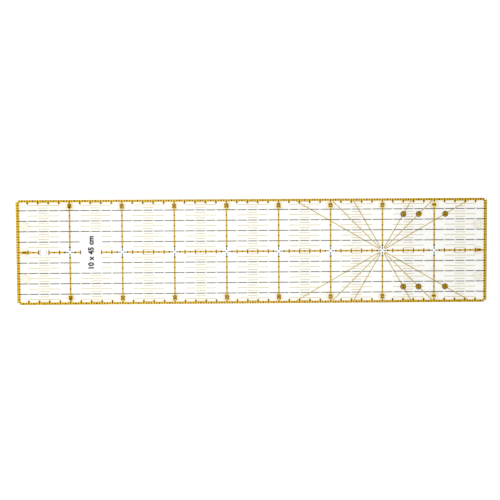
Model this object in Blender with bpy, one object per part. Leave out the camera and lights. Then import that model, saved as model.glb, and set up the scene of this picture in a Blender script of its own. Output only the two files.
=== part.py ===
"""Quilting ruler: a clear acrylic plate, printed on its underside in three passes of ink, on round grip pads.

Metres, +Z up. +X runs along the plate towards its zero end, and the origin is on the table under its middle.
"""
import math

import bmesh
import bpy
from mathutils import Matrix

# Plate
PLATE_LENGTH = 0.450
PLATE_WIDTH = 0.100
PLATE_THICKNESS = 0.003
CORNER_RADIUS = 0.001
CORNER_SEGMENTS = 4
EDGE_CHAMFER = 0.0001
HOLE_DIAMETER = 0.007
HOLE_FROM_END = 0.025
HOLE_SEGMENTS = 48

# Grip pads
PAD_DIAMETER = 0.0095
PAD_THICKNESS = 0.0005
PAD_FROM_EDGE = 0.006
PAD_FROM_END = 0.0075
PAD_SPREAD = 0.025
PAD_SEGMENTS = 32
PAD_SMOOTHING = math.radians(40)

# Ink films, and the air left between neighbouring layers
INK_THICKNESS = 0.00005
LAYER_GAP = 0.00002

# Scale marks, measured from the zero end
TICK_PITCH = 0.010
TICKS_PER_LINE = 5
TICK_WIDTH = 0.0013
TICK_LENGTH = 0.0019

# Yellow border, cross lines and centre line
BORDER_WIDTH = 0.002
BORDER_END_WIDTH = 0.002
BORDER_CORNER_CUT = 0.001
LINE_WIDTH = 0.0014
CENTRE_LINE_WIDTH = 0.0016
CROSSING_GAP = 0.005
HOLE_MARGIN = 0.0015
WINDOW_FIRST_TICK = 1
WINDOW_LAST_TICK = 3

# Black grid: rows along the plate and a hairline down each cross line
ROW_PITCH = 0.010
ROW_WIDTH = 0.0007
HAIRLINE_WIDTH = 0.0003
HAIRLINE_GAP = 0.0015
GRID_INSET = 0.0008

# Angle fans and their labels
FAN_LINE = 2
FAN_ANGLES = (math.radians(30), math.radians(45), math.radians(60))
RAY_WIDTH = 0.0007
FAN_TIP = 0.00435
TIP_SEGMENTS = 8
ROOT_SEGMENTS = 4
LABEL_FROM_EDGE = 0.015
LABEL_DIAMETER = 0.0056
LABEL_RING_WIDTH = 0.0009
LABEL_SEGMENTS = 28

# Heights of the layers: pads on the table, label rings, ochre, yellow and black ink, then the plate
LAYER_PITCH = INK_THICKNESS + LAYER_GAP
LABEL_BASE = PAD_THICKNESS + LAYER_GAP
OCHRE_BASE = LABEL_BASE + LAYER_PITCH
YELLOW_BASE = OCHRE_BASE + LAYER_PITCH
BLACK_BASE = YELLOW_BASE + LAYER_PITCH
PLATE_BASE = BLACK_BASE + LAYER_PITCH

# Places on the plate
ZERO_END = PLATE_LENGTH / 2
EDGE = PLATE_WIDTH / 2
BORDER_INNER = EDGE_CHAMFER + BORDER_WIDTH
BORDER_END_INNER = EDGE_CHAMFER + BORDER_END_WIDTH
TICK_SPAN = PLATE_LENGTH - BORDER_END_INNER - BORDER_CORNER_CUT - TICK_WIDTH
TICK_COUNT = math.ceil(TICK_SPAN / TICK_PITCH) - 1
LINE_PITCH = TICK_PITCH * TICKS_PER_LINE
LINE_COUNT = math.ceil((PLATE_LENGTH - PAD_FROM_END) / LINE_PITCH) - 1
LINES = [ZERO_END - LINE_PITCH * (n + 1) for n in range(LINE_COUNT)]
HOLE_X = HOLE_FROM_END - ZERO_END
WINDOW_START = LINES[-1] + WINDOW_FIRST_TICK * TICK_PITCH
WINDOW_END = LINES[-1] + WINDOW_LAST_TICK * TICK_PITCH
FAN_X = LINES[FAN_LINE - 1]
FAN_REACH_X = ZERO_END - abs(FAN_X) - BORDER_END_INNER
FAN_REACH_Y = EDGE - BORDER_INNER
LABEL_HEIGHT = EDGE - LABEL_FROM_EDGE


def clear_scene():
    for obj in list(bpy.data.objects):
        bpy.data.objects.remove(obj)


def make_collection(name):
    collection = bpy.data.collections.new(name)
    bpy.context.scene.collection.children.link(collection)
    return collection


def make_material(name, colour, roughness, alpha=1.0):
    material = bpy.data.materials.new(name)
    material.use_nodes = True
    shader = material.node_tree.nodes["Principled BSDF"]
    shader.inputs["Base Color"].default_value = (*colour, 1.0)
    shader.inputs["Roughness"].default_value = roughness
    shader.inputs["Alpha"].default_value = alpha
    return material


def place(obj, material):
    """Gives a new object its material and its place in the collection, on the frame."""
    obj.data.materials.append(material)
    for collection in obj.users_collection:
        collection.objects.unlink(obj)
    ruler.objects.link(obj)
    obj.parent = frame


def circle(radius, segments, x=0.0, y=0.0):
    turns = [2 * math.pi * n / segments for n in range(segments)]
    return [(x + radius * math.cos(turn), y + radius * math.sin(turn)) for turn in turns]


def add_flat(name, outlines, base, thickness, material, chamfer=0.0):
    """A flat piece from closed outlines, the inner ones cut as holes, standing on the height base."""
    curve = bpy.data.curves.new(name, "CURVE")
    curve.dimensions = "2D"
    curve.fill_mode = "BOTH"
    curve.extrude = thickness / 2 - chamfer
    curve.bevel_depth = chamfer
    curve.bevel_resolution = 0
    curve.offset = -chamfer
    for outline in outlines:
        spline = curve.splines.new("POLY")
        spline.points.add(len(outline) - 1)
        for point, (x, y) in zip(spline.points, outline):
            point.co = (x, y, 0.0, 1.0)
        spline.use_cyclic_u = True
    obj = bpy.data.objects.new(name, curve)
    obj.location.z = base + thickness / 2
    place(obj, material)
    return obj


def make_bars(name, bars):
    """Straight stretches of ink in one mesh, from their X and Y spans, about the film's middle height."""
    mesh = bpy.data.meshes.new(name)
    boxes = bmesh.new()
    for x_low, x_high, y_low, y_high in bars:
        middle = ((x_low + x_high) / 2, (y_low + y_high) / 2, 0.0)
        size = (x_high - x_low, y_high - y_low, INK_THICKNESS)
        bmesh.ops.create_cube(boxes, size=1, matrix=Matrix.LocRotScale(middle, None, size))
    boxes.to_mesh(mesh)
    boxes.free()
    return bpy.data.objects.new(name, mesh)


def add_plate():
    corner_x = ZERO_END - CORNER_RADIUS
    corner_y = EDGE - CORNER_RADIUS
    outline = []
    for quarter, (side_x, side_y) in enumerate(((1, 1), (-1, 1), (-1, -1), (1, -1))):
        for step in range(CORNER_SEGMENTS + 1):
            turn = math.pi / 2 * (quarter + step / CORNER_SEGMENTS)
            x = side_x * corner_x + CORNER_RADIUS * math.cos(turn)
            y = side_y * corner_y + CORNER_RADIUS * math.sin(turn)
            outline.append((x, y))
    hole = circle(HOLE_DIAMETER / 2, HOLE_SEGMENTS, HOLE_X)
    add_flat("acrylic_plate", [outline, hole], PLATE_BASE, PLATE_THICKNESS, acrylic, EDGE_CHAMFER)


def add_pad(name, x, y):
    bpy.ops.mesh.primitive_cylinder_add(vertices=PAD_SEGMENTS, radius=PAD_DIAMETER / 2, depth=PAD_THICKNESS)
    obj = bpy.context.object
    obj.name = name
    obj.location = (x, y, PAD_THICKNESS / 2)
    bpy.ops.object.shade_smooth_by_angle(angle=PAD_SMOOTHING)
    place(obj, grip)


def add_pads():
    for number, x in enumerate(LINES, 1):
        add_pad(f"grip_pad_upper_{number}", x, EDGE - PAD_FROM_EDGE)
        add_pad(f"grip_pad_lower_{number}", x, PAD_FROM_EDGE - EDGE)
    end_x = ZERO_END - PAD_FROM_END
    for end, x in (("zero", end_x), ("far", -end_x)):
        add_pad(f"grip_pad_{end}_end_upper", x, PAD_SPREAD)
        add_pad(f"grip_pad_{end}_end_middle", x, 0.0)
        add_pad(f"grip_pad_{end}_end_lower", x, -PAD_SPREAD)


def cut_corners(end_inset, edge_inset, cut):
    """A rectangle inside the plate's edges with its corners cut at 45 degrees, clockwise from upper left."""
    x = ZERO_END - end_inset
    y = EDGE - edge_inset
    upper = [(-x, y - cut), (-x + cut, y), (x - cut, y), (x, y - cut)]
    return upper + [(-px, -py) for px, py in upper]


def upper_marks(inner_y):
    """The band's inner side along the upper edge, left to right, with the ticks and lines hanging from it."""
    points = []
    for count in range(TICK_COUNT, 0, -1):
        is_line = count % TICKS_PER_LINE == 0 and count <= LINE_COUNT * TICKS_PER_LINE
        half = (LINE_WIDTH if is_line else TICK_WIDTH) / 2
        end = CROSSING_GAP if is_line else inner_y - TICK_LENGTH
        x = ZERO_END - count * TICK_PITCH
        points += [(x - half, inner_y), (x - half, end), (x + half, end), (x + half, inner_y)]
    return points


def add_border():
    """The band round the plate, as wide across its cut corners as along its sides, with all its marks."""
    corner_width = (BORDER_WIDTH + BORDER_END_WIDTH) / 2
    outer = cut_corners(EDGE_CHAMFER, EDGE_CHAMFER, BORDER_CORNER_CUT + corner_width * (2 - math.sqrt(2)))
    inner = cut_corners(BORDER_END_INNER, BORDER_INNER, BORDER_CORNER_CUT)
    upper = upper_marks(EDGE - BORDER_INNER)
    lower = [(x, -y) for x, y in reversed(upper)]
    inner = inner[:2] + upper + inner[2:6] + lower + inner[6:]
    add_flat("yellow_border_and_cross_lines", [outer, inner], YELLOW_BASE, INK_THICKNESS, yellow)


def add_centre_line():
    """The centre line's stretches, left out round the crossings, the hole and the label window."""
    inner_end = ZERO_END - BORDER_END_INNER - LAYER_GAP
    hole_half = HOLE_DIAMETER / 2 + HOLE_MARGIN
    gaps = [(x - CROSSING_GAP, x + CROSSING_GAP) for x in LINES]
    gaps.append((HOLE_X - hole_half, HOLE_X + hole_half))
    gaps.append((WINDOW_START, WINDOW_END))
    gaps.append((inner_end, inner_end))
    start = -inner_end
    stretches = []
    for low, high in sorted(gaps):
        if low - start > CENTRE_LINE_WIDTH:
            stretches.append((start, low))
        start = max(start, high)
    for number, (low, high) in enumerate(reversed(stretches), 1):
        half_length = (high - low) / 2
        bar = (-half_length, half_length, -CENTRE_LINE_WIDTH / 2, CENTRE_LINE_WIDTH / 2)
        line = make_bars(f"yellow_centre_line_{number}", [bar])
        line.location = (low + half_length, 0.0, YELLOW_BASE + INK_THICKNESS / 2)
        place(line, yellow)


def add_black_grid(level, side):
    """The rows of one half of the plate, the first one open at the label window, joined to the hairlines."""
    end = ZERO_END - GRID_INSET
    first = side * ROW_PITCH
    spans = [(-end, WINDOW_START, first), (WINDOW_END, end, first)]
    for number in range(2, math.ceil((EDGE - BORDER_INNER) / ROW_PITCH)):
        spans.append((-end, end, side * ROW_PITCH * number))
    half = ROW_WIDTH / 2
    grid = make_bars(f"black_grid_{level}", [(low, high, y - half, y + half) for low, high, y in spans])
    grid.location.z = BLACK_BASE + INK_THICKNESS / 2
    place(grid, black)
    half = HAIRLINE_WIDTH / 2
    low, high = sorted((side * HAIRLINE_GAP, side * (EDGE - GRID_INSET)))
    hairlines = make_bars(f"hairlines_{level}", [(x - half, x + half, low, high) for x in LINES])
    hairlines.location.z = grid.location.z
    hairlines.hide_render = True
    hairlines.display_type = "WIRE"
    joined.objects.link(hairlines)
    union = grid.modifiers.new("hairlines", "BOOLEAN")
    union.operation = "UNION"
    union.solver = "EXACT"
    union.object = hairlines


def ray_point(angle, along, side):
    """A point beside a ray from the crossing: its distance along the ray, and to the left of it."""
    x = along * math.cos(angle) - side * math.sin(angle)
    y = along * math.sin(angle) + side * math.cos(angle)
    return (x, y)


def ray_end(angle, side):
    """The point where one side of a ray meets the border."""
    to_edge = (FAN_REACH_Y - side * math.cos(angle)) / math.sin(angle)
    to_end = (FAN_REACH_X + side * math.sin(angle)) / math.cos(angle)
    return ray_point(angle, min(to_edge, to_end), side)


def fan_outline():
    """Three rays joined by a rounded tip, in the quadrant of +X and +Y, as one outline."""
    low, middle, high = FAN_ANGLES
    spread = (high - low) / 2
    radius = FAN_TIP * math.sin(spread)
    half = RAY_WIDTH / 2
    centre_x = FAN_TIP * math.cos(middle)
    centre_y = FAN_TIP * math.sin(middle)

    def tip(turn, distance):
        return (centre_x + distance * math.cos(turn), centre_y + distance * math.sin(turn))

    sweep = math.pi - 2 * spread
    outer_turns = [low - math.pi / 2 - sweep * n / TIP_SEGMENTS for n in range(TIP_SEGMENTS + 1)]
    root_turn = math.asin(half / (radius - half))
    inner_turns = [n / ROOT_SEGMENTS for n in range(ROOT_SEGMENTS + 1)]
    stop = sweep / 2 - root_turn
    middle_back = middle + math.pi
    points = [ray_end(low, -half)]
    points += [tip(turn, radius + half) for turn in outer_turns]
    points += [ray_end(high, half), ray_end(high, -half)]
    points += [tip(middle_back - root_turn - stop * (1 - n), radius - half) for n in inner_turns]
    points += [ray_end(middle, half), ray_end(middle, -half)]
    points += [tip(middle_back + root_turn + stop * n, radius - half) for n in inner_turns]
    points.append(ray_end(low, half))
    return points


def add_fans():
    outline = fan_outline()
    for side, sign_x in (("zero", 1), ("far", -1)):
        for level, sign_y in (("upper", 1), ("lower", -1)):
            points = [(sign_x * x, sign_y * y) for x, y in outline]
            fan = add_flat(f"angle_fan_{side}_side_{level}", [points], OCHRE_BASE, INK_THICKNESS, ochre)
            fan.location.x = FAN_X


def add_labels():
    radius = LABEL_DIAMETER / 2
    rings = [circle(radius, LABEL_SEGMENTS), circle(radius - LABEL_RING_WIDTH, LABEL_SEGMENTS)]
    for angle in FAN_ANGLES:
        along = min(LABEL_HEIGHT / math.tan(angle), FAN_REACH_X - LABEL_DIAMETER)
        height = along * math.tan(angle)
        for level, y in (("upper", height), ("lower", -height)):
            name = f"angle_label_{level}_{round(math.degrees(angle))}"
            ring = add_flat(name, rings, LABEL_BASE, INK_THICKNESS, yellow)
            ring.location.x = FAN_X + along
            ring.location.y = y


clear_scene()
ruler = make_collection("quilting_ruler")
joined = make_collection("joined_shapes")
frame = bpy.data.objects.new("ruler_frame", None)
ruler.objects.link(frame)
acrylic = make_material("clear_acrylic", (0.93, 0.94, 0.93), 0.05, 0.25)
grip = make_material("grip_silicone", (0.9, 0.88, 0.8), 0.6)
yellow = make_material("yellow_ink", (0.76, 0.5, 0.01), 0.45)
ochre = make_material("ochre_ink", (0.55, 0.4, 0.01), 0.45)
black = make_material("black_ink", (0.008, 0.008, 0.008), 0.45)
add_plate()
add_pads()
add_border()
add_centre_line()
add_black_grid("upper", 1)
add_black_grid("lower", -1)
add_fans()
add_labels()
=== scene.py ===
import math

import bpy
import numpy as np
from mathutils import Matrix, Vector
from mathutils.geometry import delaunay_2d_cdt


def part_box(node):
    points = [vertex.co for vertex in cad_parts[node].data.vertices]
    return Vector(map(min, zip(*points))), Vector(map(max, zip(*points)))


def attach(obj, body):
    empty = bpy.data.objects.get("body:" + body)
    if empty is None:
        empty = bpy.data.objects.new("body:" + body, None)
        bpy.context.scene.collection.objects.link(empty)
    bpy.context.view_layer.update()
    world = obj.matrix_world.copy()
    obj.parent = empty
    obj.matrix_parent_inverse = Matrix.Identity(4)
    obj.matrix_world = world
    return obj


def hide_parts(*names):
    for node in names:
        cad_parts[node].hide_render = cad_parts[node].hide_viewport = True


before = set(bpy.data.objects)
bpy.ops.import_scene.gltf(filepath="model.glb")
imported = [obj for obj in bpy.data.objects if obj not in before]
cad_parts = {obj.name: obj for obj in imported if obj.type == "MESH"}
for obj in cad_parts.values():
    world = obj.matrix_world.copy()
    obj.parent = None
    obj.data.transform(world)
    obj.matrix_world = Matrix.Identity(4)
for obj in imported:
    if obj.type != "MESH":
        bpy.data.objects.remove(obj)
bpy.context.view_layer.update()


# Clear plate. The real one is a sheet of cast acrylic, sawn to size, milled square on its edges and drilled
# with one hole to hang it by. Its faces keep the sheet's own polish, the cutter leaves fine upright lines on
# the edges, and the drill leaves the wall of the hole frosted in fine rings.
MM = 0.001
EDGE_ROUNDING, EDGE_HOLD = 0.1, 0.05
CORNER_RADIUS, CORNER_POINTS = 1.0, 6
HOLE, HOLE_RADIUS = np.array([-200.0, 0.0]), 3.5
SPOKES, SHORTEST = 96, 1e-9
ACRYLIC_TINT, ACRYLIC_SHADOW_TINT = "#FEFEFB", "#FBFBFA"
# Light mirrored inside the acrylic more than MIRRORINGS times leaves with a fixed warm-grey tint, a painted
# reflection that stands in for the print mirrored in it.
MIRRORINGS, PAINTED_MIRRORING_TINT = 2.5, "#CFC9B4"
SHEET_WAVES = (25.0, 25.0, 25.0)
CUTTER_LINES = (2 / 3, 2 / 3, 50 / 3)
DRILL_RINGS = (50 / 3, 50 / 3, 1 / 4)

plate_low, plate_high = (np.array(corner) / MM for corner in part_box("acrylic_plate"))


def linear(hex_colour):
    """An sRGB hex colour as the linear RGBA that shaders take: each channel through the sRGB curve."""
    srgb = np.array([int(hex_colour[i:i + 2], 16) for i in (1, 3, 5)]) / 255
    rgb = np.where(srgb <= 0.04045, srgb / 12.92, ((srgb + 0.055) / 1.055) ** 2.4)
    return (*rgb.tolist(), 1.0)


def add_node(tree, kind, inputs, **settings):
    """Adds one node with its settings. Each input is a value to set, or an output socket to link from."""
    node = tree.nodes.new(kind)
    for name, value in settings.items():
        setattr(node, name, value)
    for key, value in inputs.items():
        if isinstance(value, bpy.types.NodeSocket):
            tree.links.new(value, node.inputs[key])
        else:
            node.inputs[key].default_value = value
    return node


def new_material(name):
    """An empty node material: the material, its tree, its output node and Object coordinates in metres."""
    material = bpy.data.materials.new(name)
    material.use_nodes = True
    tree = material.node_tree
    tree.nodes.clear()
    output = tree.nodes.new("ShaderNodeOutputMaterial")
    where = tree.nodes.new("ShaderNodeTexCoord").outputs["Object"]
    return material, tree, output, where


def cast_acrylic(name, smoothest, roughest, grain_size, relief_strength, clearness=1.0):
    """Clear cast acrylic, IOR 1.49. Lamps and bounced light pass straight through it, so that the print under
    it is lit, and only what is looked at through it is bent. Light that is mirrored inside it again and again
    passes straight out, tinted a fixed warm grey: a painted reflection that stands in for the colour of the
    print mirrored in it. One noise gives the roughness and the relief, with its grains as long as given, in
    millimetres. Where a tool has frosted it, it is less clear and white."""
    material, tree, output, where = new_material(name)
    grain = add_node(tree, "ShaderNodeMapping",
                     {"Vector": where, "Scale": [1 / (length * MM) for length in grain_size]})
    wear = add_node(tree, "ShaderNodeTexNoise", {"Vector": grain.outputs[0], "Scale": 1.0, "Detail": 3.0})
    rough = add_node(tree, "ShaderNodeMapRange",
                     {"Value": wear.outputs["Fac"], "To Min": smoothest, "To Max": roughest})
    relief = add_node(tree, "ShaderNodeBump",
                      {"Height": wear.outputs["Fac"], "Strength": relief_strength, "Distance": 0.02 * MM})
    glass = add_node(tree, "ShaderNodeBsdfPrincipled",
                     {"Base Color": linear(ACRYLIC_TINT), "IOR": 1.49, "Transmission Weight": clearness,
                      "Roughness": rough.outputs[0], "Normal": relief.outputs[0]})
    passing = add_node(tree, "ShaderNodeBsdfTransparent", {"Color": linear(ACRYLIC_SHADOW_TINT)})
    path = tree.nodes.new("ShaderNodeLightPath")
    lit = add_node(tree, "ShaderNodeMath",
                   {0: path.outputs["Is Shadow Ray"], 1: path.outputs["Is Diffuse Ray"]}, operation="MAXIMUM")
    trapped = add_node(tree, "ShaderNodeMath",
                       {0: path.outputs["Glossy Depth"], 1: MIRRORINGS}, operation="GREATER_THAN")
    # Painted reflection: a fixed warm grey for light trapped by mirrorings, in place of the print mirrored
    # inside.
    painted_mirroring = add_node(tree, "ShaderNodeBsdfTransparent", {"Color": linear(PAINTED_MIRRORING_TINT)})
    clear = add_node(tree, "ShaderNodeMixShader",
                     {0: trapped.outputs[0], 1: glass.outputs[0], 2: painted_mirroring.outputs[0]})
    surface = add_node(tree, "ShaderNodeMixShader",
                       {0: lit.outputs[0], 1: clear.outputs[0], 2: passing.outputs[0]})
    tree.links.new(surface.outputs[0], output.inputs["Surface"])
    return material


def add_piece(name, slot, points, faces, *materials):
    """A mesh object at the origin, from points in millimetres and faces, riding on the ruler's one body."""
    mesh = bpy.data.meshes.new(name)
    mesh.from_pydata((points * MM).tolist(), [], faces)
    for material in materials:
        mesh.materials.append(material)
    piece = bpy.data.objects.new(name, mesh)
    bpy.context.scene.collection.objects.link(piece)
    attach(piece, "root")
    return piece


def closed_grid(rows, columns):
    """Faces of a grid of points that closes on itself both ways: each point with its next neighbours."""
    row, column = np.meshgrid(np.arange(rows), np.arange(columns), indexing="ij")
    next_row, next_column = (row + 1) % rows, (column + 1) % columns
    corners = [(row, column), (next_row, column), (next_row, next_column), (row, next_column)]
    return np.stack([r * columns + c for r, c in corners], axis=-1).reshape(-1, 4)


def rounded_rim(low, high, radius):
    """Heights up a wall whose two edges are rounded, with how far each lies back from the wall: the ends and
    the middle of a quarter arc at either edge, and one more close to it, which keeps the shading flat."""
    bow = radius * (1 - math.sqrt(0.5))
    lower = [(radius, low), (bow, low + bow), (0, low + radius), (0, low + radius + EDGE_HOLD)]
    return np.array(lower + [(back, low + high - z) for back, z in reversed(lower)])


def plate_rings():
    """Rings of points from the hole's lower rim up its wall, out over the top, down the outside and back
    below. A spoke at each angle round the hole meets the rectangle at the nearer of its two sides, and a
    point past the centre of a corner's arc is drawn in to the arc."""
    half = plate_high[:2]
    step, still = np.linspace(0, CORNER_RADIUS, CORNER_POINTS), np.zeros(CORNER_POINTS)
    corner = np.vstack([np.column_stack([still, step]), np.column_stack([step, still])])
    corner = np.vstack([(half - corner) * sign for sign in ((1, 1), (-1, 1), (-1, -1), (1, -1))]) - HOLE
    even = np.linspace(-np.pi, np.pi, SPOKES + 1)[1:]
    angles = np.unique(np.round(np.concatenate([np.arctan2(corner[:, 1], corner[:, 0]), even]), 9))
    spoke = np.column_stack([np.cos(angles), np.sin(angles)])
    sign = np.where(spoke < 0, -1, 1)
    reach = np.min((half - sign * HOLE) / np.maximum(np.abs(spoke), SHORTEST), axis=1)
    side = HOLE + spoke * reach[:, None]
    inner = np.clip(side, CORNER_RADIUS - half, half - CORNER_RADIUS)
    outward = (side - inner) / np.linalg.norm(side - inner, axis=1)[:, None]
    rim = rounded_rim(plate_low[2], plate_high[2], EDGE_ROUNDING)
    hole = HOLE + spoke * (HOLE_RADIUS + rim[:, 0])[:, None, None]
    outside = inner + outward * (CORNER_RADIUS - rim[::-1, 0])[:, None, None]
    heights = np.concatenate([rim[:, 1], rim[::-1, 1]])
    flat = np.concatenate([hole, outside])
    return np.dstack([flat, np.broadcast_to(heights[:, None], flat.shape[:2])])


polished_acrylic = cast_acrylic("polished_cast_acrylic", smoothest=0.015, roughest=0.04,
                                grain_size=SHEET_WAVES, relief_strength=0.05)
milled_acrylic = cast_acrylic("milled_cast_acrylic", smoothest=0.02, roughest=0.06,
                              grain_size=CUTTER_LINES, relief_strength=0.05)
drilled_acrylic = cast_acrylic("drilled_cast_acrylic", smoothest=0.45, roughest=0.6,
                               grain_size=DRILL_RINGS, relief_strength=0.3, clearness=0.45)
rings = plate_rings()
plate = add_piece("clear_plate", "clear_acrylic",
                  rings.reshape(-1, 3), closed_grid(*rings.shape[:2]).tolist(),
                  polished_acrylic, milled_acrylic, drilled_acrylic)
strip = np.arange(len(plate.data.polygons)) // rings.shape[1]
top_strip, under_strip = len(rings) // 2 - 1, len(rings) - 1
is_edge = (strip != top_strip) & (strip != under_strip)
is_hole = strip < top_strip
plate.data.polygons.foreach_set("material_index", is_edge.astype(np.int32) + is_hole)
plate.data.polygons.foreach_set("use_smooth", is_edge)
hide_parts("acrylic_plate")


# Black rows. The first pass of screen ink on the plate's underside: rows of dashes a centimetre apart, open
# at each centimetre. Each pass is a thin film that lies under the one before, so this one shows on top.
HALF_LENGTH, HALF_WIDTH = plate_high[:2]
CENTIMETRE = 10.0
CENTIMETRES_PER_LINE = 5
ROW_WIDTH, ROW_MARGIN = 0.7, 0.8
DASH_GAP = 1.5
WINDOW, WINDOW_HALF_HEIGHT = (-165.0, -145.0), 20.0
BLACK_INK, BLACK_INK_WORN = "#0C0C0E", "#18181A"

centimetres = np.arange(1, round(2 * HALF_LENGTH / CENTIMETRE))
marks = HALF_LENGTH - CENTIMETRE * centimetres
on_line = centimetres % CENTIMETRES_PER_LINE == 0
lines, ticks = marks[on_line], marks[~on_line]
rows = CENTIMETRE * np.array([-4, -3, -2, -1, 1, 2, 3, 4])


def screen_ink(name, colour, worn):
    """Opaque screen ink, IOR 1.5, satin. The film is a little uneven: its colour drifts over 4 mm patches,
    and a 0.4 mm mesh grain, coarser than a real screen's so that it shows, gives its roughness and relief."""
    material, tree, output, where = new_material(name)
    patches = add_node(tree, "ShaderNodeTexNoise", {"Vector": where, "Scale": 1 / (4 * MM), "Detail": 2.0})
    grain = add_node(tree, "ShaderNodeTexNoise", {"Vector": where, "Scale": 1 / (0.4 * MM), "Detail": 1.0})
    drift = add_node(tree, "ShaderNodeMix",
                     {0: patches.outputs["Fac"], 6: linear(colour), 7: linear(worn)}, data_type="RGBA")
    rough = add_node(tree, "ShaderNodeMapRange",
                     {"Value": grain.outputs["Fac"], "To Min": 0.35, "To Max": 0.6})
    relief = add_node(tree, "ShaderNodeBump",
                      {"Height": grain.outputs["Fac"], "Strength": 0.2, "Distance": 0.01 * MM})
    ink = add_node(tree, "ShaderNodeBsdfPrincipled",
                   {"Base Color": drift.outputs[2], "Roughness": rough.outputs[0], "IOR": 1.5,
                    "Specular IOR Level": 0.1, "Normal": relief.outputs[0]})
    tree.links.new(ink.outputs[0], output.inputs["Surface"])
    return material


def film_heights(node):
    """The lower and upper height of an ink film, from a CAD node of the same pass."""
    low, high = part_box(node)
    return low[2] / MM, high[2] / MM


def bars(x, y, length, width, heights, upright=False):
    """Flat bars as closed boxes: corners half a length along each bar and half a width across it, at the
    film's lower and upper height. Upright bars have their length along Y."""
    x, y, length, width = (np.ravel(values) for values in np.broadcast_arrays(x, y, length, width))
    half = np.column_stack([width, length] if upright else [length, width])[:, None] / 2
    corners = np.column_stack([x, y])[:, None] + half * np.array([(-1, -1), (1, -1), (1, 1), (-1, 1)])
    points = np.concatenate([np.dstack([corners, np.full(corners.shape[:2], z)]) for z in heights], axis=1)
    box = np.array([(3, 2, 1, 0), (4, 5, 6, 7), (0, 1, 5, 4), (1, 2, 6, 5), (2, 3, 7, 6), (3, 0, 4, 7)])
    faces = box + 8 * np.arange(len(x))[:, None, None]
    return points.reshape(-1, 3), faces.reshape(-1, 4).tolist()


def in_window(x, y):
    """Whether a point lies in the blank window in the print."""
    return (x > WINDOW[0] - DASH_GAP) & (x < WINDOW[1] + DASH_GAP) & (np.abs(y) < WINDOW_HALF_HEIGHT)


black_ink = screen_ink("black_screen_ink", BLACK_INK, BLACK_INK_WORN)
black_film = film_heights("black_grid_upper")
row_end = HALF_LENGTH - ROW_MARGIN
dashes = np.sort(np.concatenate([[-row_end, row_end], ticks - DASH_GAP / 2, ticks + DASH_GAP / 2]))
dashes = dashes.reshape(-1, 2)
dash_x, dash_y = np.meshgrid(dashes.mean(axis=1), rows)
dash_length = np.broadcast_to(np.ptp(dashes, axis=1), dash_x.shape)
shown = ~in_window(dash_x, dash_y)
black_rows = add_piece("black_rows", "black_ink",
                       *bars(dash_x[shown], dash_y[shown], dash_length[shown], ROW_WIDTH, black_film),
                       black_ink)
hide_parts("black_grid_upper", "black_grid_lower")


# Umber edge scale. Ticks all round the border band, in black ink thinned so that it reads as dark umber over
# the yellow: a fine one every quarter of a centimetre, bolder at the half, and on the long edges a long tick
# at each centimetre, which is shorter where a line begins.
UMBER_INK, UMBER_INK_WORN = "#602A00", "#6E3402"
TICK_PITCH = 2.5
FINE_TICK_WIDTH, HALF_TICK_WIDTH, LONG_TICK_WIDTH = 0.8, 1.25, 0.85
SCALE_MARGIN, END_MARGIN = 0.15, 0.35
BAND_INNER, LONG_TICK_REACH, LINE_TICK_REACH = 1.75, 4.0, 3.0


def merged(*parts):
    """Several parts' points and faces as one: a part's face numbers are moved past the points before it."""
    points, faces, start = [], [], 0
    for part_points, part_faces in parts:
        points.append(part_points)
        faces += [[corner + start for corner in face] for face in part_faces]
        start += len(part_points)
    return np.concatenate(points), faces


def both_sides(*arrays):
    """The arrays twice over, with the first one's sign turned for the first half."""
    return [np.concatenate([-values if i == 0 else values, values]) for i, values in enumerate(arrays)]


quarters = np.arange(1, round(2 * HALF_LENGTH / TICK_PITCH))
scale_x = HALF_LENGTH - TICK_PITCH * quarters
scale_width = np.array([LONG_TICK_WIDTH, FINE_TICK_WIDTH, HALF_TICK_WIDTH, FINE_TICK_WIDTH])[quarters % 4]
scale_reach = np.where(quarters % 4 == 0, LONG_TICK_REACH, BAND_INNER)
scale_reach[quarters % (4 * CENTIMETRES_PER_LINE) == 0] = LINE_TICK_REACH
edge_y, edge_x, edge_length, edge_width = both_sides(
    HALF_WIDTH - (scale_reach + SCALE_MARGIN) / 2, scale_x, scale_reach - SCALE_MARGIN, scale_width)
end_count = round(HALF_WIDTH / TICK_PITCH)
end_quarters = np.arange(1 - end_count, end_count)
end_x, end_y, end_width = both_sides(
    np.full(len(end_quarters), HALF_LENGTH - (BAND_INNER + END_MARGIN) / 2), TICK_PITCH * end_quarters,
    np.where(end_quarters % 2 == 0, HALF_TICK_WIDTH, FINE_TICK_WIDTH))
umber_ink = screen_ink("umber_screen_ink", UMBER_INK, UMBER_INK_WORN)
add_piece("umber_edge_scale", "black_ink",
          *merged(bars(edge_x, edge_y, edge_length, edge_width, black_film, upright=True),
                  bars(end_x, end_y, BAND_INNER - END_MARGIN, end_width, black_film)), umber_ink)


# Line marks. Printed with the rows: umber marks on the yellow lines at the quarters, halves and centimetres,
# with hairlines between them. Where two lines cross, thin black arms lead out from a blank centre towards a
# dot on each line, and stop short of it.
HAIRLINE, QUARTER_MARK, HALF_MARK, CENTRE_TICK = (1.1, 0.05), (0.65, 0.65), (1.3, 1.35), (3.8, 0.9)
STRETCH_SLACK = 0.1
CROSSING_GAP, BLANK_CENTRE = 5.0, 1.15
ARM_END, ARM_WIDTH = 3.75, 0.78
DOT_RADIUS, DOT_SIDES = 0.9, 12


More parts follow.
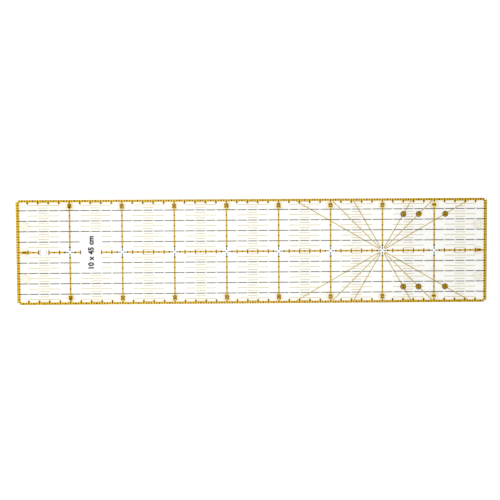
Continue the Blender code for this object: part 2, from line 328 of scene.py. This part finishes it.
def discs(x, y, radius, sides, heights):
    """Round dots as closed prisms: points at equal turns round each centre, at both heights."""
    turn = np.arange(sides) * 2 * np.pi / sides
    flat = np.column_stack([np.ravel(x), np.ravel(y)])[:, None]
    flat = flat + radius * np.column_stack([np.cos(turn), np.sin(turn)])
    points = np.concatenate([np.dstack([flat, np.full(flat.shape[:2], z)]) for z in heights], axis=1)
    start = 2 * sides * np.arange(len(flat))[:, None]
    low = np.arange(sides)
    wall = np.column_stack([low, (low + 1) % sides, (low + 1) % sides + sides, low + sides])
    faces = (start[..., None] + wall).reshape(-1, 4).tolist()
    faces += (start + low[::-1]).tolist() + (start + low + sides).tolist()
    return points.reshape(-1, 3), faces


def on_stretch(x, starts, ends):
    """Whether each place lies on one of the stretches between the starts and the ends."""
    return ((x > starts[:, None]) & (x < ends[:, None])).any(axis=0)


centre_nodes = [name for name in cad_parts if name.startswith("yellow_centre_line")]
centre_starts, centre_ends = (np.array([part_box(name)[i][0] for name in centre_nodes]) / MM for i in (0, 1))
on_centre = on_stretch(scale_x, centre_starts - STRETCH_SLACK, centre_ends + STRETCH_SLACK)
centre_x, centre_kind = scale_x[on_centre], quarters[on_centre] % 4
between_x = scale_x - TICK_PITCH / 2
on_hair = on_stretch(between_x, centre_starts + HAIRLINE[0] / 2, centre_ends - HAIRLINE[0] / 2)
on_hair &= (np.abs(between_x - lines[:, None]) > CROSSING_GAP + TICK_PITCH).all(axis=0)
mark_x, mark_y = np.meshgrid(lines, *both_sides(CENTIMETRE * np.array([1.5, 2.5, 3.5])))
quarter_x, quarter_y = np.meshgrid(lines, *both_sides(TICK_PITCH * np.arange(3, 16, 2)))
hair_x, hair_y = np.meshgrid(lines, *both_sides(TICK_PITCH * (np.arange(3, 16) + 0.5)))
add_piece("umber_line_marks", "black_ink",
          *merged(bars(hair_x, hair_y, *HAIRLINE, black_film, upright=True),
                  bars(between_x[on_hair], 0.0, *HAIRLINE, black_film),
                  bars(quarter_x, quarter_y, *QUARTER_MARK, black_film),
                  bars(centre_x[centre_kind % 2 == 1], 0.0, *QUARTER_MARK, black_film, upright=True),
                  bars(mark_x, mark_y, *HALF_MARK, black_film),
                  bars(centre_x[centre_kind == 2], 0.0, *HALF_MARK, black_film, upright=True),
                  bars(centre_x[centre_kind == 0], 0.0, *CENTRE_TICK, black_film, upright=True)), umber_ink)
arm_x, arm_side = np.meshgrid(lines, [-1.0, 1.0])
arm_middle, arm_length = (BLANK_CENTRE + ARM_END) / 2, ARM_END - BLANK_CENTRE
add_piece("black_crossing_arms", "black_ink",
          *merged(bars(arm_x, arm_side * arm_middle, arm_length, ARM_WIDTH, black_film, upright=True),
                  bars(arm_x + arm_side * arm_middle, 0.0, arm_length, ARM_WIDTH, black_film),
                  discs(arm_x, arm_side * CROSSING_GAP, DOT_RADIUS, DOT_SIDES, black_film),
                  discs(arm_x + arm_side * CROSSING_GAP, np.zeros_like(arm_x), DOT_RADIUS, DOT_SIDES,
                        black_film)), black_ink)


# Yellow print. The second pass: the border band with its ticks, the lines every five centimetres, the centre
# line and the rings of the angle labels, which are the CAD films with the ink. Added to them are narrow rims
# along the border and beside its long ticks, and a small upright tick in each gap of the black rows.
YELLOW_INK, YELLOW_INK_WORN = "#F2CA00", "#ECC000"
RIM_WIDTH, RIM_MARGIN, RIM_END = 0.09, 0.01, 2.3
TICK_RIM, ROW_TICK = (2.1, 1.9), (1.7, 0.28)


def ink_films(beginnings, ink):
    """Gives an ink to the CAD films whose names begin in one of these ways."""
    for name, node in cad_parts.items():
        if name.startswith(beginnings):
            node.data.materials.clear()
            node.data.materials.append(ink)


yellow_ink = screen_ink("yellow_screen_ink", YELLOW_INK, YELLOW_INK_WORN)
ink_films(("yellow_", "angle_label"), yellow_ink)
yellow_film = film_heights("yellow_border_and_cross_lines")
label_film = film_heights("angle_label_upper_30")
rim_y, rim_x = (np.array([-1, 1]) * (half - RIM_MARGIN - RIM_WIDTH / 2)
                for half in (HALF_WIDTH, HALF_LENGTH))
add_piece("yellow_border_rim", "yellow_ink",
          *merged(bars(0.0, rim_y, 2 * (HALF_LENGTH - RIM_END), RIM_WIDTH, yellow_film),
                  bars(rim_x, 0.0, 2 * (HALF_WIDTH - RIM_END), RIM_WIDTH, yellow_film, upright=True)),
          yellow_ink)
tick_rim_y = HALF_WIDTH - BAND_INNER - TICK_RIM[0] / 2
tick_x, tick_y = np.meshgrid(ticks, [-tick_rim_y, tick_rim_y])
add_piece("yellow_tick_rims", "yellow_ink",
          *bars(tick_x, tick_y, *TICK_RIM, label_film, upright=True), yellow_ink)
tick_x, tick_y = np.meshgrid(ticks, rows)
shown = ~in_window(tick_x, tick_y)
add_piece("yellow_row_ticks", "yellow_ink",
          *bars(tick_x[shown], tick_y[shown], *ROW_TICK, yellow_film, upright=True), yellow_ink)


# Ochre print. The third pass: fine lines between the rows at every quarter of a centimetre, a rounded box
# round the middle centimetre of each cell, and the rays of the angle fans, whose CAD films get the ink.
OCHRE_INK, OCHRE_INK_WORN = "#CEB000", "#C4A600"
FINE_LINE_WIDTH = 0.38
LONG_HALF, SHORT_HALF = 15.0, 5.0
BOX_HALF_HEIGHT, BOX_ROUNDING, BOX_LINE_WIDTH = 2.5, 1.2, 0.36
ARC_POINTS = 7
HOLE_MARGIN = 1.0

cells = CENTIMETRES_PER_LINE * CENTIMETRE * np.arange(-4, 5)


def strips(centres, path, width, heights, closed=True):
    """Flat strips of ink along the same path round each centre: points half a width to either side of the
    path, square to its direction, at both heights. A closed path runs back into its start, an open one is
    capped."""
    steps = np.roll(path, -1, axis=0) - np.roll(path, 1, axis=0) if closed else np.gradient(path, axis=0)
    side = np.column_stack([steps[:, 1], -steps[:, 0]])
    side *= width / 2 / np.linalg.norm(side, axis=1)[:, None]
    loops = np.stack([np.column_stack([path + way * side, np.full(len(path), z)])
                      for way, z in ((1, heights[0]), (1, heights[1]), (-1, heights[1]), (-1, heights[0]))])
    faces = closed_grid(4, len(path))[:, ::-1]
    caps = np.empty((0, 4), int)
    if not closed:
        faces = faces.reshape(4, len(path), 4)[:, :-1].reshape(-1, 4)
        caps = np.array([(0, 1, 2, 3), (3, 2, 1, 0)]) * len(path) + np.array([[0], [len(path) - 1]])
    faces = np.concatenate([faces, caps])
    centres = np.column_stack([centres, np.zeros(len(centres))])
    points = centres[:, None, None] + loops
    faces = faces + 4 * len(path) * np.arange(len(centres))[:, None, None]
    return points.reshape(-1, 3), faces.reshape(-1, 4).tolist()


def rounded_box(half_length, half_height, radius):
    """A path round a box: a quarter arc about the centre of each corner, with straight sides between."""
    quadrant = np.repeat(np.arange(4), ARC_POINTS)
    turn = quadrant * np.pi / 2 + np.tile(np.linspace(0, np.pi / 2, ARC_POINTS), 4)
    sign = np.column_stack([np.array([1, -1, -1, 1])[quadrant], np.array([1, 1, -1, -1])[quadrant]])
    arc = radius * np.column_stack([np.cos(turn), np.sin(turn)])
    return sign * [half_length - radius, half_height - radius] + arc


ochre_ink = screen_ink("ochre_screen_ink", OCHRE_INK, OCHRE_INK_WORN)
ink_films("angle_fan", ochre_ink)
fan_film = film_heights("angle_fan_zero_side_upper")
long_x, long_y = np.meshgrid(cells, CENTIMETRE * (np.arange(-5, 5) + 0.5))
short_x, short_y = np.meshgrid(cells, *both_sides(TICK_PITCH * np.arange(3, 20, 2)))
is_cut = in_window(long_x, long_y)
cut_start, cut_end = WINDOW[1], cells[1] + LONG_HALF
shown = ~in_window(short_x, short_y)
add_piece("ochre_fine_lines", "ochre_ink",
          *merged(bars(long_x[~is_cut], long_y[~is_cut], 2 * LONG_HALF, FINE_LINE_WIDTH, yellow_film),
                  bars((cut_start + cut_end) / 2, long_y[is_cut], cut_end - cut_start, FINE_LINE_WIDTH,
                       yellow_film),
                  bars(short_x[shown], short_y[shown], 2 * SHORT_HALF, FINE_LINE_WIDTH, yellow_film)),
          ochre_ink)
box_path = rounded_box(SHORT_HALF, BOX_HALF_HEIGHT, BOX_ROUNDING)
box_centres = np.column_stack([cells[2:], np.zeros(len(cells) - 2)])
hole_reach = math.sqrt((HOLE_RADIUS + HOLE_MARGIN) ** 2 - BOX_HALF_HEIGHT ** 2)
half_box = np.vstack([[hole_reach, -BOX_HALF_HEIGHT], box_path[3 * ARC_POINTS:], box_path[:ARC_POINTS],
                      [hole_reach, BOX_HALF_HEIGHT]])
hole_boxes = [strips(HOLE[None], way * half_box, BOX_LINE_WIDTH, fan_film, closed=False) for way in (1, -1)]
add_piece("ochre_centre_boxes", "ochre_ink",
          *merged(strips(box_centres, box_path, BOX_LINE_WIDTH, fan_film), *hole_boxes), ochre_ink)


# Numbers. Umber figures on the lines every five centimetres, along both long edges and at the two ends,
# turned to read up the plate. A later pass prints a rim of yellow round each, which sets it off its line.
NUMBER_HEIGHT, NUMBER_STROKE, NUMBER_RIM = 3.1, 0.16, 0.67
NUMBER_FROM_EDGE, END_NUMBER_X = 6.0, 218.0
OUTLINE_STEPS, NARROWEST_OPENING, MERGED_UNDER = 4, 0.5, 1e-5


def outlines(text):
    """The closed outlines of a text in Blender's own typeface, in its own units: anticlockwise round the ink
    and clockwise round its holes. Each runs through neighbouring points of a wire and back to its start."""
    curve = bpy.data.curves.new("figures", "FONT")
    curve.body, curve.fill_mode, curve.resolution_u = text, "NONE", OUTLINE_STEPS
    figures = bpy.data.objects.new("figures", curve)
    bpy.context.scene.collection.objects.link(figures)
    wire = bpy.data.meshes.new_from_object(figures.evaluated_get(bpy.context.evaluated_depsgraph_get()))
    points, edges = np.empty(3 * len(wire.vertices), np.float32), np.empty(2 * len(wire.edges), np.int32)
    wire.vertices.foreach_get("co", points)
    wire.edges.foreach_get("vertices", edges)
    bpy.data.objects.remove(figures)
    bpy.data.curves.remove(curve)
    bpy.data.meshes.remove(wire)
    points, edges = points.astype(float).reshape(-1, 3)[:, :2], edges.reshape(-1, 2)
    closing = edges[np.abs(edges[:, 0] - edges[:, 1]) > 1]
    return [points[first:last + 1] for first, last in np.sort(closing, axis=1)]


def grown(outline, margin):
    """An outline moved outwards: each point by the margin off both of its sides, along the mean of their
    normals. At a very sharp corner it stops short."""
    side = np.roll(outline, -1, axis=0) - outline
    normal = np.column_stack([side[:, 1], -side[:, 0]]) / np.linalg.norm(side, axis=1)[:, None]
    before = np.roll(normal, 1, axis=0)
    opening = np.maximum(1 + (normal * before).sum(axis=1), NARROWEST_OPENING)
    return outline + margin * (normal + before) / opening[:, None]


def lettering(text, x, y, height, heights, thicken):
    """Plain figures turned a quarter to read up the plate and centred on a point. Their outlines, scaled by
    the height of a nought and grown, are cut into triangles together. A triangle is ink where the outlines
    wind round its centre: there the turns from each of their points to the next add up to a full one."""
    loops = outlines(text)
    scale = height / np.ptp(outlines("0")[0][:, 1])
    corners = np.concatenate(loops)
    middle = (corners.min(axis=0) + corners.max(axis=0)) / 2
    loops = [grown((loop - middle) * scale, thicken) for loop in loops]
    sides, start = [], 0
    for loop in loops:
        index = start + np.arange(len(loop))
        sides += np.column_stack([index, np.roll(index, -1)]).tolist()
        start += len(loop)
    cut = delaunay_2d_cdt(np.concatenate(loops).tolist(), sides, [], 0, MERGED_UNDER)
    flat, triangles = np.array(cut[0]), np.array(cut[2])
    centres = flat[triangles].mean(axis=1) @ [1, 1j]
    turns = np.zeros(len(centres))
    for loop in loops:
        ray = loop @ [1, 1j] - centres[:, None]
        turns += np.angle(np.roll(ray, -1, axis=1) / ray).sum(axis=1)
    used, triangles = np.unique(triangles[turns > np.pi], return_inverse=True)
    flat, triangles, count = flat[used], triangles.reshape(-1, 3), len(used)
    edges = triangles[:, [[0, 1], [1, 2], [2, 0]]].reshape(-1, 2)
    rim = edges[~np.isin(edges @ [count, 1], edges @ [1, count])]
    walls = np.column_stack([rim, rim[:, ::-1] + count])
    across, along = x - flat[:, 1], y + flat[:, 0]
    points = np.vstack([np.column_stack([across, along, np.full(count, z)]) for z in heights])
    return points, triangles[:, ::-1].tolist() + (triangles + count).tolist() + walls.tolist()


number_y = HALF_WIDTH - NUMBER_FROM_EDGE
numbers = [(str(CENTIMETRES_PER_LINE * i), x, y)
           for i, x in enumerate(lines, 1) for y in (-number_y, number_y)]
numbers += [(str(CENTIMETRES_PER_LINE), x, 0.0) for x in (-END_NUMBER_X, END_NUMBER_X)]
number_figures = [lettering(*number, NUMBER_HEIGHT, black_film, NUMBER_STROKE) for number in numbers]
add_piece("umber_numbers", "black_ink", *merged(*number_figures), umber_ink)
number_rims = [lettering(*number, NUMBER_HEIGHT, fan_film, NUMBER_RIM) for number in numbers]
add_piece("yellow_number_rims", "yellow_ink", *merged(*number_rims), yellow_ink)


# Angle labels. Small round labels on the rays of the fans, printed with the numbers: an umber ring over each
# yellow one, the angle of its ray in plain figures inside it, and a later field of yellow behind them.
LABEL_RING_RADIUS, LABEL_RING_WIDTH, LABEL_RING_POINTS = 2.5, 0.7, 32
LABEL_HEIGHT, LABEL_STROKE = 2.4, 0.08
LABEL_FIELD, LABEL_FIELD_SIDES = 1.88, 28

label_nodes = [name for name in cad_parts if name.startswith("angle_label")]
label_places = np.array([np.mean(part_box(name), axis=0)[:2] for name in label_nodes]) / MM
ring_turn = np.arange(LABEL_RING_POINTS) * 2 * np.pi / LABEL_RING_POINTS
ring_path = LABEL_RING_RADIUS * np.column_stack([np.cos(ring_turn), np.sin(ring_turn)])
labels = [(name[-2:], *place) for name, place in zip(label_nodes, label_places)]
label_figures = [lettering(*label, LABEL_HEIGHT, black_film, LABEL_STROKE) for label in labels]
add_piece("umber_angle_labels", "black_ink",
          *merged(strips(label_places, ring_path, LABEL_RING_WIDTH, black_film), *label_figures), umber_ink)
add_piece("yellow_label_fields", "yellow_ink",
          *discs(*label_places.T, LABEL_FIELD, LABEL_FIELD_SIDES, label_film), yellow_ink)


# Size mark. The plate's own width and length in plain figures, printed in black with the rows in the blank
# window, and turned as the numbers are.
SIZE_HEIGHT, SIZE_STROKE = 5.0, 0.28

size_text = f"{2 * HALF_WIDTH / CENTIMETRE:.0f} x {2 * HALF_LENGTH / CENTIMETRE:.0f} cm"
add_piece("black_size_mark", "black_ink",
          *lettering(size_text, sum(WINDOW) / 2, 0.0, SIZE_HEIGHT, black_film, SIZE_STROKE), black_ink)


# Grip pads. Thin dots of soft pale silicone, punched from sheet and stuck under the print, so that the plate
# does not slide on cloth. Their rims are a little rounded, and the sheet has a fine matt stipple.
PAD_ROUNDING, PAD_SIDES = 0.12, 40
SILICONE, SILICONE_DUSTY, SILICONE_SHADOW_TINT = "#FFFEFA", "#FDFBF2", "#FDFBF6"


def silicone_sheet(name, colour, dusty):
    """Matt silicone sheet, IOR 1.41. Most of the light goes through it, blurred, so that a pad shows as no
    more than a faint cream disc. Dust drifts over 3 mm patches, and a 0.35 mm stipple, coarser than a real
    mould's so that it shows, gives its roughness and relief."""
    material, tree, output, where = new_material(name)
    patches = add_node(tree, "ShaderNodeTexNoise", {"Vector": where, "Scale": 1 / (3 * MM), "Detail": 3.0})
    stipple = add_node(tree, "ShaderNodeTexVoronoi", {"Vector": where, "Scale": 1 / (0.35 * MM)})
    drift = add_node(tree, "ShaderNodeMix",
                     {0: patches.outputs["Fac"], 6: linear(colour), 7: linear(dusty)}, data_type="RGBA")
    rough = add_node(tree, "ShaderNodeMapRange",
                     {"Value": stipple.outputs["Distance"], "To Min": 0.5, "To Max": 0.75})
    relief = add_node(tree, "ShaderNodeBump",
                      {"Height": stipple.outputs["Distance"], "Strength": 0.3, "Distance": 0.03 * MM})
    silicone = add_node(tree, "ShaderNodeBsdfPrincipled",
                        {"Base Color": drift.outputs[2], "Roughness": rough.outputs[0], "IOR": 1.41,
                         "Transmission Weight": 0.92, "Normal": relief.outputs[0]})
    passing = add_node(tree, "ShaderNodeBsdfTransparent", {"Color": linear(SILICONE_SHADOW_TINT)})
    path = tree.nodes.new("ShaderNodeLightPath")
    lit = add_node(tree, "ShaderNodeMath",
                   {0: path.outputs["Is Shadow Ray"], 1: path.outputs["Is Diffuse Ray"]}, operation="MAXIMUM")
    surface = add_node(tree, "ShaderNodeMixShader",
                       {0: lit.outputs[0], 1: silicone.outputs[0], 2: passing.outputs[0]})
    tree.links.new(surface.outputs[0], output.inputs["Surface"])
    return material


def rounded_disc(low, high):
    """A flat round disc that fills a box, its rim rounded above and below: rings of points up the rim at
    equal turns, closed by a flat cap at either end."""
    rim = rounded_rim(low[2], high[2], PAD_ROUNDING)
    around = np.arange(PAD_SIDES)
    turn = around * 2 * np.pi / PAD_SIDES
    centre, radius = (low + high)[:2] / 2, (high - low)[0] / 2
    flat = centre + np.column_stack([np.cos(turn), np.sin(turn)]) * (radius - rim[:, 0])[:, None, None]
    points = np.dstack([flat, np.broadcast_to(rim[:, 1][:, None], flat.shape[:2])])
    faces = closed_grid(len(rim), PAD_SIDES)[:-PAD_SIDES, ::-1].tolist()
    faces += [around[::-1].tolist(), (around + (len(rim) - 1) * PAD_SIDES).tolist()]
    return points.reshape(-1, 3), faces


silicone = silicone_sheet("matt_silicone_sheet", SILICONE, SILICONE_DUSTY)
for node in [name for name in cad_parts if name.startswith("grip_pad")]:
    pad_low, pad_high = (np.array(corner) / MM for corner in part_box(node))
    pad = add_piece(node.replace("grip_pad", "silicone_dot"), "grip_silicone",
                    *rounded_disc(pad_low, pad_high), silicone)
    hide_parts(node)


# Table. A wide sheet of matt white paper under the pads, which shows as white to the eye, in the gloss and
# through the plate, and takes a little of the lamp as well, so that the plate's shadow stays on it.
FLOOR_HALF, FLOOR_DROP = 3000.0, 0.2
FLOOR_GLOW, FLOOR_SHADE, FLOOR_WHITE = 0.62, "#BCBCBC", "#E6E6E4"

paper, tree, output, _ = new_material("white_paper_table")
path = tree.nodes.new("ShaderNodeLightPath")
mirrored = add_node(tree, "ShaderNodeMath",
                    {0: path.outputs["Is Glossy Ray"], 1: path.outputs["Is Transmission Ray"]},
                    operation="MAXIMUM")
looked_at = add_node(tree, "ShaderNodeMath",
                     {0: path.outputs["Is Camera Ray"], 1: mirrored.outputs[0]}, operation="MAXIMUM")
glow = add_node(tree, "ShaderNodeEmission", {"Color": (1.0, 1.0, 1.0, 1.0), "Strength": FLOOR_GLOW})
shade = add_node(tree, "ShaderNodeBsdfDiffuse", {"Color": linear(FLOOR_SHADE)})
seen = add_node(tree, "ShaderNodeAddShader", {0: glow.outputs[0], 1: shade.outputs[0]})
unseen = add_node(tree, "ShaderNodeBsdfDiffuse", {"Color": linear(FLOOR_WHITE)})
surface = add_node(tree, "ShaderNodeMixShader",
                   {0: looked_at.outputs[0], 1: unseen.outputs[0], 2: seen.outputs[0]})
tree.links.new(surface.outputs[0], output.inputs["Surface"])
floor_corners = FLOOR_HALF * np.array([(-1, -1, 0), (1, -1, 0), (1, 1, 0), (-1, 1, 0)]) - [0, 0, FLOOR_DROP]
floor_mesh = bpy.data.meshes.new("table")
floor_mesh.from_pydata((floor_corners * MM).tolist(), [], [(0, 1, 2, 3)])
floor_mesh.materials.append(paper)
floor = bpy.data.objects.new("table", floor_mesh)
bpy.context.scene.collection.objects.link(floor)


# Light. A white room whose ceiling is dark, apart from a pale panel straight overhead, so that the plate
# mirrors little light to the eye above it. One soft lamp hangs high beyond the far end, from where its light
# falls off along the plate, and is neither mirrored in the plate nor seen through it.
WALL_LEVEL, CEILING_LEVEL, PANEL_LEVEL = 0.85, 0.08, 0.65
CEILING_FROM, CEILING_TO = 0.62, 0.8
PANEL_FROM, PANEL_TO = 0.92, 0.955
LAMP_PLACE, LAMP_SIZE, LAMP_POWER = (-0.35, -0.05, 0.75), 0.4, 4.12

world = bpy.data.worlds.new("white_room")
bpy.context.scene.world = world
world.use_nodes = True
tree = world.node_tree
tree.nodes.clear()
toward = tree.nodes.new("ShaderNodeTexCoord").outputs["Generated"]
rise = add_node(tree, "ShaderNodeSeparateXYZ", {0: toward})
ceiling = add_node(tree, "ShaderNodeMapRange",
                   {"Value": rise.outputs["Z"], "From Min": CEILING_FROM, "From Max": CEILING_TO,
                    "To Min": WALL_LEVEL, "To Max": CEILING_LEVEL}, interpolation_type="SMOOTHSTEP")
panel = add_node(tree, "ShaderNodeMapRange",
                 {"Value": rise.outputs["Z"], "From Min": PANEL_FROM, "From Max": PANEL_TO,
                  "To Min": 0.0, "To Max": PANEL_LEVEL}, interpolation_type="SMOOTHSTEP")
level = add_node(tree, "ShaderNodeMath", {0: ceiling.outputs[0], 1: panel.outputs[0]}, operation="MAXIMUM")
path = tree.nodes.new("ShaderNodeLightPath")
strength = add_node(tree, "ShaderNodeMath",
                    {0: level.outputs[0], 1: path.outputs["Is Camera Ray"]}, operation="MAXIMUM")
room = add_node(tree, "ShaderNodeBackground",
                {"Color": (1.0, 1.0, 1.0, 1.0), "Strength": strength.outputs[0]})
output = tree.nodes.new("ShaderNodeOutputWorld")
tree.links.new(room.outputs[0], output.inputs["Surface"])

lamp_light = bpy.data.lights.new("soft_lamp", "AREA")
lamp_light.energy = LAMP_POWER
lamp_light.size = LAMP_SIZE
lamp = bpy.data.objects.new("soft_lamp", lamp_light)
lamp.location = LAMP_PLACE
lamp.rotation_euler = Vector(LAMP_PLACE).to_track_quat("Z", "Y").to_euler()
lamp.visible_glossy = False
lamp.visible_transmission = False
bpy.context.scene.collection.objects.link(lamp)


# Camera. It looks down on the middle of the plate from close above, almost square to it, as the photograph
# was taken: its place is in metres and its three small turns are in degrees.
CAMERA_PLACE, CAMERA_TURNS = (-0.00634, 0.01119, 0.42153), (-1.35, -0.522, -0.347)
SENSOR_WIDTH, FOCAL_LENGTH, NEAREST_SEEN = 36.0, 31.46, 0.01

camera_data = bpy.data.cameras.new("camera")
camera_data.sensor_width = SENSOR_WIDTH
camera_data.lens = FOCAL_LENGTH
camera_data.clip_start = NEAREST_SEEN
camera = bpy.data.objects.new("camera", camera_data)
camera.location = CAMERA_PLACE
camera.rotation_euler = [math.radians(angle) for angle in CAMERA_TURNS]
bpy.context.scene.collection.objects.link(camera)
bpy.context.scene.camera = camera
bpy.context.scene.view_settings.view_transform = "Standard"
